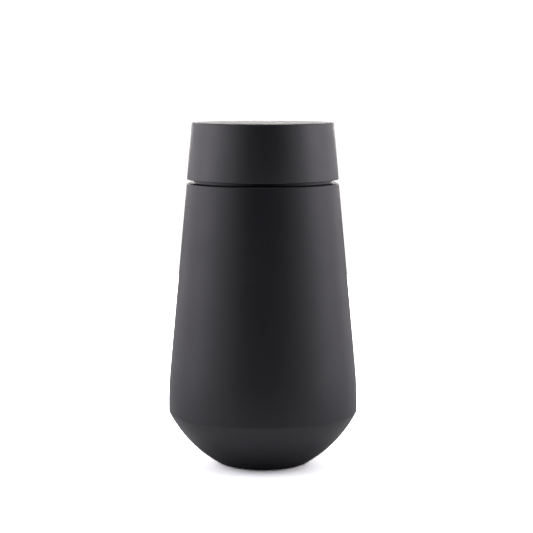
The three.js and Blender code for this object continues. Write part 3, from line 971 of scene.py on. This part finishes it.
foil = Section("foil_wrap", foil_radius(FOIL_FOOT_Z), FOIL_FOOT_Z)
for i in range(1, FOIL_STEPS + 1):
    level = FOIL_FOOT_Z + (FOIL_TOP_Z - FOIL_FOOT_Z) * i / FOIL_STEPS
    foil.to(foil_radius(level), level)
foil_wrap = foil.spin(160, 354)
apply_modifier(foil_wrap, "SOLIDIFY", thickness=0.1 * MM, offset=1, use_even_offset=True)
settle(foil_wrap, "cup", "copper_foil", finish=copper)

# %% [markdown]
# The strap is bent from a strip. A plane of the strip's width is made for one foot, its end edge is extruded
# along the bends, and the sheet gets its thickness and rounded bends from modifiers.

# %% Getter pellet and the strap over it
GETTER_X = 12.5 * MM
PELLET_THICK = 1.5 * MM
under_floor_z = 4.3 * MM  # just above the recess's steel
deselect_all()
bpy.ops.mesh.primitive_cylinder_add(
    vertices=64,
    radius=4 * MM,
    depth=PELLET_THICK,
    location=(GETTER_X, 0, under_floor_z + PELLET_THICK / 2),
)
pellet = bpy.context.object
pellet.name = pellet.data.name = "getter_pressed"
bpy.ops.object.transform_apply(location=True, rotation=True, scale=True)
select_points(pellet, lambda x, y, z: z > under_floor_z + PELLET_THICK / 2)
bpy.ops.mesh.select_mode(type="FACE")
bpy.ops.mesh.inset(thickness=1.1 * MM)
bpy.ops.mesh.inset(thickness=0.3 * MM, depth=-0.25 * MM)
bpy.ops.object.mode_set(mode="OBJECT")
apply_modifier(pellet, "BEVEL", width=0.2 * MM, segments=3, limit_method="ANGLE")
settle(pellet, "cup", "getter_pellet", finish=getter_powder)

deselect_all()
bpy.ops.mesh.primitive_plane_add(size=1, location=(GETTER_X, -5.5 * MM, under_floor_z))
strap = bpy.context.object
strap.name = strap.data.name = "getter_strip"
strap.scale = (3 * MM, 2.2 * MM, 1)
bpy.ops.object.transform_apply(location=True, rotation=True, scale=True)
select_points(strap, lambda x, y, z: y > -5 * MM)
bpy.ops.mesh.select_mode(type="EDGE")
for bend in ((0, 0, 1.8), (0, 8.8, 0), (0, 0, -1.8), (0, 2.2, 0)):
    step = tuple(v * MM for v in bend)
    bpy.ops.mesh.extrude_region_move(TRANSFORM_OT_translate={"value": step})
bpy.ops.mesh.select_all(action="SELECT")
bpy.ops.mesh.normals_make_consistent(inside=False)
bpy.ops.object.mode_set(mode="OBJECT")
apply_modifier(strap, "SOLIDIFY", thickness=0.3 * MM, offset=1, use_even_offset=True)
apply_modifier(strap, "BEVEL", width=0.12 * MM, segments=3, limit_method="ANGLE")
settle(strap, "cup", "getter_strap", finish=strip_steel)

# %% The glass bead that closes the port
bead = Section("port_bead", 0, 3.5 * MM)
bead.to(1.6 * MM, 3.65 * MM).to(2.4 * MM, 4.2 * MM).to(2.2 * MM, 4.7 * MM).to(0.5 * MM, 4.7 * MM)
bead.to(0.5 * MM, 6.2 * MM).to(0, 6.4 * MM)
bead.soften(1.6 * MM, 3.65 * MM, 0.4 * MM, 4).soften(2.4 * MM, 4.2 * MM, 0.25 * MM, 4)
bead.soften(2.2 * MM, 4.7 * MM, 0.2 * MM, 4).soften(0.5 * MM, 6.2 * MM, 0.15 * MM, 3)
settle(bead.spin(64), "cup", "vacuum_seal_bead", finish=solder_glass)

# %% [markdown]
# ## The studio
#
# The tumbler stands on white paper against a white background. Soft lights stand in pairs at its sides, a
# little behind it and a little in front, so that a bright band runs down each edge and the side towards
# the camera stays dark. Two hang above, for the floor, and a low one behind skims the flat top of the cap.
# None of them is seen by the camera itself, so no view has a lamp in it.

# %% Camera
CAMERA_AWAY = 760 * MM
LOOK_DOWN = 6.5  # degrees below level
deselect_all()
bpy.ops.object.camera_add(location=(1.7 * MM, -CAMERA_AWAY, 179.3 * MM))
camera = bpy.context.object
camera.rotation_euler = (math.radians(90 - LOOK_DOWN), 0, 0)
camera.data.lens = 110.2
camera.data.sensor_width = 36
camera.data.clip_start = 0.01
camera.data.clip_end = 50
bpy.context.scene.camera = camera
print(f"camera: {camera.data.lens:.1f} mm lens, {CAMERA_AWAY / MM:.0f} mm away")

# %% [markdown]
# A white floor that only bounces what falls on it comes out grey next to a lit background, and a floor
# lit until it is white floods the object from below. So the paper is white, apart from the painted shade and
# light below, to every ray that lights the object, and a good deal brighter to the eye, which keeps the
# contact shadow and its bounce.
#
# A rounded underside shows the floor below it. Black card tucked under it makes it fade towards the foot,
# and white card round the belly lifts the rim of it, so that the edge stands out. Here there is no card:
# the paper's bounce colour is painted instead, with painted shade that dims it next to the foot and painted
# light that makes it brightest in a ring below the belly, and lower again farther out.

# %% Floor
bpy.ops.mesh.primitive_circle_add(vertices=128, radius=0.75, fill_type="NGON", location=(0, 0, 0))
floor = bpy.context.object
floor.name = "studio_floor"
paper = bpy.data.materials.new("white paper")
paper.use_nodes = True
tree = paper.node_tree
tree.nodes.clear()
seen = node(tree, "ShaderNodeLightPath").outputs["Is Camera Ray"]
white = node(tree, "ShaderNodeMix", {"data_type": "RGBA"}, Factor=seen)
from_middle = node(
    tree,
    "ShaderNodeVectorMath",
    {"operation": "LENGTH"},
    _0=node(tree, "ShaderNodeTexCoord").outputs["Object"],
).outputs["Value"]
# painted shade: the paper's bounce colour darkens from the belly in to the foot, where shade falls under the
# cup
painted_shade_under_cup = node(
    tree,
    "ShaderNodeMapRange",
    {"interpolation_type": "SMOOTHSTEP"},
    Value=from_middle,
    From_Min=FOOT_RIM_R,
    From_Max=BELLY_R + 4 * MM,
    To_Min=0.34,
).outputs["Result"]
# painted light: a brighter ring of bounce colour just outside the belly, fading farther out
painted_light_ring = node(
    tree,
    "ShaderNodeMapRange",
    Value=from_middle,
    From_Min=BELLY_R + 6 * MM,
    From_Max=120 * MM,
    To_Min=1.15,
    To_Max=0.78,
).outputs["Result"]
tree.links.new(maths(tree, "MULTIPLY", painted_shade_under_cup, painted_light_ring), white.inputs["A"])
white.inputs["B"].default_value = (2.92, 3.0, 2.92, 1)
matt = node(tree, "ShaderNodeBsdfDiffuse", Color=white.outputs["Result"])
node(tree, "ShaderNodeOutputMaterial", Surface=matt.outputs[0])
floor.data.materials.append(paper)
floor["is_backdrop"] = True
print(f"paper: {floor.dimensions.x:.1f} m across")


# %% Soft lights
def softbox(name, place, aim, size, power, color):
    """A large soft light at a place, turned to face a point. Metres and watts."""
    bpy.ops.object.light_add(type="AREA", location=place)
    light = bpy.context.object
    light.name = name
    light.visible_camera = False
    light.data.shape = "RECTANGLE"
    light.data.size, light.data.size_y = size
    light.data.energy = power
    light.data.color = color
    away = [a - p for a, p in zip(aim, place)]
    flat = math.hypot(away[0], away[1])
    light.rotation_euler = (math.atan2(flat, -away[2]), 0, math.atan2(-away[0], away[1]))


middle = (0, 0, TOP_Z / 2)
rosy = (0.98, 0.935, 1.0)
cool = (0.95, 0.97, 1.0)
blue = (0.75, 0.85, 1.0)
warm = (1.0, 0.95, 0.93)
for side, word, front_power in ((1, "right", 0.9), (-1, "left", 1.5)):
    softbox(f"side_{word}", (0.9 * side, 0, 0.35), middle, (0.7, 0.9), 5.1, rosy)
    softbox(f"rear_{word}", (0.8 * side, 0.7, 0.35), middle, (0.6, 0.9), 2.8, rosy)
    softbox(f"front_{word}", (0.8 * side, -0.6, 0.35), middle, (0.5, 0.9), front_power, rosy)
softbox("above", (0, 0.1, 1.3), (0, 0, 0), (1.2, 1.2), 4.9, cool)
softbox("above_front", (0, -0.5, 1.2), (0, -0.15, 0), (1.0, 1.0), 1.6, blue)
softbox("low_behind", (0, 1.0, 0.2), (0, 0, TOP_Z), (0.9, 0.12), 3.5, warm)

# %% A white background for the eye, and a glowing wall behind for the light
world = bpy.data.worlds.new("studio")
bpy.context.scene.world = world
world.use_nodes = True
tree = world.node_tree
tree.nodes.clear()
direction = node(tree, "ShaderNodeTexCoord").outputs["Generated"]
toward = node(tree, "ShaderNodeSeparateXYZ", Vector=direction)
wall = node(
    tree, "ShaderNodeMapRange", Value=toward.outputs["Y"], From_Min=0.75, To_Max=1.8
).outputs["Result"]
above_floor = maths(tree, "GREATER_THAN", toward.outputs["Z"], 0.0)
wall_light = maths(tree, "MULTIPLY", wall, above_floor)
glow = node(tree, "ShaderNodeBackground", Color=(1, 0.95, 0.92, 1), Strength=wall_light)
plain = node(tree, "ShaderNodeBackground", Color=(1, 1, 1, 1), Strength=1.1)
seen = node(tree, "ShaderNodeLightPath").outputs["Is Camera Ray"]
mixed = node(tree, "ShaderNodeMixShader", _0=seen, _1=glow.outputs[0], _2=plain.outputs[0])
node(tree, "ShaderNodeOutputWorld", Surface=mixed.outputs[0])
bpy.context.scene.view_settings.view_transform = "Standard"
print("world:", world.name, "with", len(tree.nodes), "nodes")

# %% Sizes
low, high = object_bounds()
